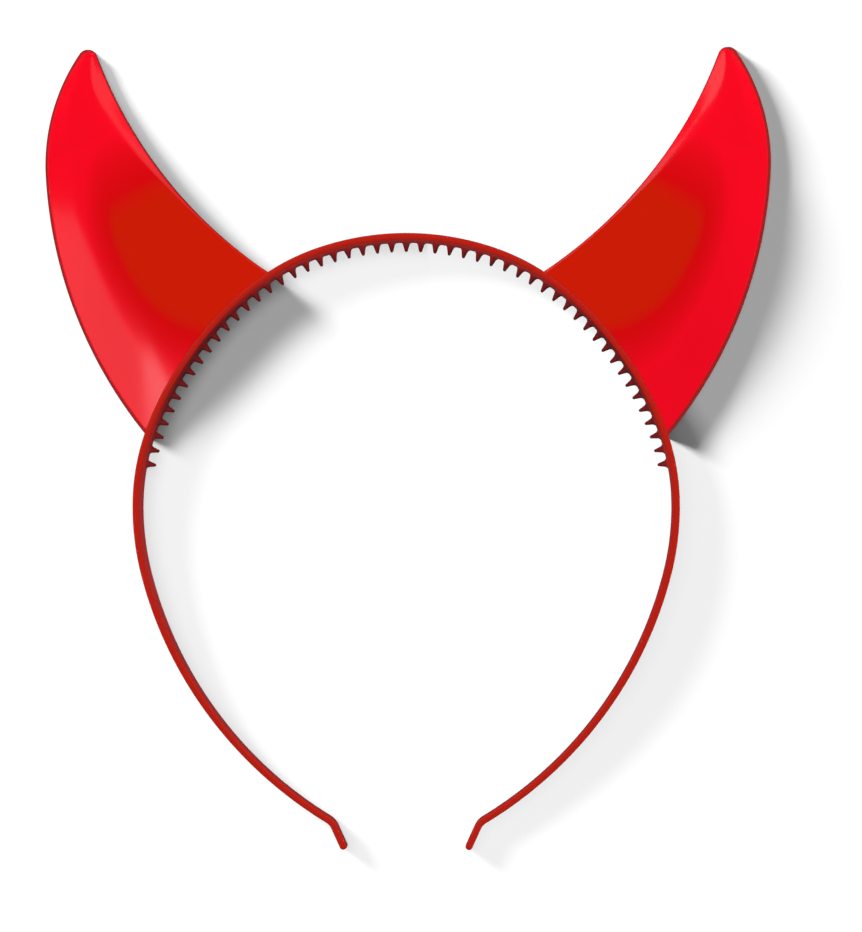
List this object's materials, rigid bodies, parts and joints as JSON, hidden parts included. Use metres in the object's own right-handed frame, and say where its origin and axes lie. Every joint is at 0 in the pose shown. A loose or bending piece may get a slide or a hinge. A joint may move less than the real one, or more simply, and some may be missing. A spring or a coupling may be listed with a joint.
{
  "type": "horn headband",
  "caption": "Red plastic costume headband: a springy open band with comb teeth inside its crown and flicked tips, and curved, open-backed horn shells on top.",
  "frame": {"origin": "on the surface that the headband lies on, under the middle of its outline", "axes": "+Y from the band's tips to the horns' points, +Z from the flat back to the front, +X to the right, seen from the front"},
  "size_m": [0.1766, 0.1942, 0.009],
  "materials": {
    "red_plastic": "smooth glossy moulded plastic"
  },
  "bodies": {
    "root": {"band": "red_plastic", "horn_left": "red_plastic", "horn_right": "red_plastic"}
  },
  "joints": []
}
